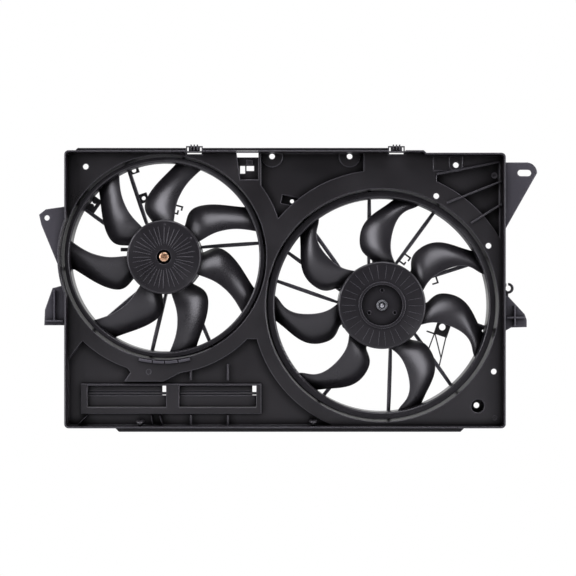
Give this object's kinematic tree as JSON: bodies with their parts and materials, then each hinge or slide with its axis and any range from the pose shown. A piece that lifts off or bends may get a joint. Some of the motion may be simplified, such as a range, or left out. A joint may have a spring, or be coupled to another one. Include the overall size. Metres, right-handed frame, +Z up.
{
  "type": "twin radiator fan module",
  "caption": "Twin electric fan module for a car radiator and condenser: moulded shroud with ring fans, spoked motor mounts and ram air flaps.",
  "frame": {"origin": "middle of the lower edge of the rim, in the plane of the rim's front edge, which lies against the radiator", "axes": "+X along the width, to the right seen from the radiator; +Y backwards to the engine, along both fan axes; +Z up"},
  "size_m": [0.7972, 0.1175, 0.4592],
  "materials": {
    "shroud_plastic": "satin",
    "fan_plastic": "satin",
    "steel": "brushed",
    "motor_paint": "satin",
    "brass": "satin",
    "magnet": "matte",
    "core_steel": "matte",
    "copper": "satin",
    "card": "matte",
    "carbon": "matte"
  },
  "bodies": {
    "shroud": {"shroud_panel": "shroud_plastic", "lower_tray": "shroud_plastic", "valley_tray": "shroud_plastic", "corner_tray": "shroud_plastic", "peg_socket": "shroud_plastic", "rim_top": "shroud_plastic", "rim_bottom": "shroud_plastic", "rim_left": "shroud_plastic", "rim_right": "shroud_plastic", "barrel_left": "shroud_plastic", "barrel_right": "shroud_plastic", "stator_left": "shroud_plastic", "stator_right": "shroud_plastic", "left_ear": "shroud_plastic", "right_ear": "shroud_plastic", "left_foot": "shroud_plastic", "right_foot": "shroud_plastic", "hose_hook": "shroud_plastic", "top_clip_left": "shroud_plastic", "top_clip_right": "shroud_plastic", "harness_bracket": "shroud_plastic", "flap_frame": "shroud_plastic", "motor_can_left": "motor_paint", "front_bearing_left": "steel", "rear_bearing_left": "steel", "end_cap_left": "motor_paint", "magnets_left": "magnet", "brush_card_left": "card", "brushes_left": "carbon", "motor_screws_left": "steel", "motor_socket_left": "shroud_plastic", "motor_can_right": "motor_paint", "front_bearing_right": "steel", "rear_bearing_right": "steel", "end_cap_right": "motor_paint", "magnets_right": "magnet", "brush_card_right": "card", "brushes_right": "carbon", "motor_screws_right": "steel", "motor_socket_right": "shroud_plastic"},
    "left_rotor": {"fan_left": "fan_plastic", "fan_nut_left": "brass", "motor_shaft_left": "steel", "armature_core_left": "core_steel", "windings_left": "copper", "commutator_left": "copper"},
    "right_rotor": {"fan_right": "fan_plastic", "fan_nut_right": "steel", "motor_shaft_right": "steel", "armature_core_right": "core_steel", "windings_right": "copper", "commutator_right": "copper"},
    "left_ram_air_flap": {"flap_left": "shroud_plastic"},
    "right_ram_air_flap": {"flap_right": "shroud_plastic"}
  },
  "joints": [
    {"name": "left_fan_spin", "type": "hinge", "parent": "shroud", "child": "left_rotor", "pos_m": [-0.1937, 0.06, 0.2721], "axis": [0, 1, 0], "continuous": true},
    {"name": "right_fan_spin", "type": "hinge", "parent": "shroud", "child": "right_rotor", "pos_m": [0.1552, 0.06, 0.1949], "axis": [0, 1, 0], "continuous": true},
    {"name": "left_flap_swing", "type": "hinge", "parent": "shroud", "child": "left_ram_air_flap", "pos_m": [-0.2535, 0.034, 0.0534], "axis": [1, 0, 0], "range_deg": [0, 70]},
    {"name": "right_flap_swing", "type": "hinge", "parent": "shroud", "child": "right_ram_air_flap", "pos_m": [-0.10775, 0.034, 0.0534], "axis": [1, 0, 0], "range_deg": [0, 70]}
  ]
}
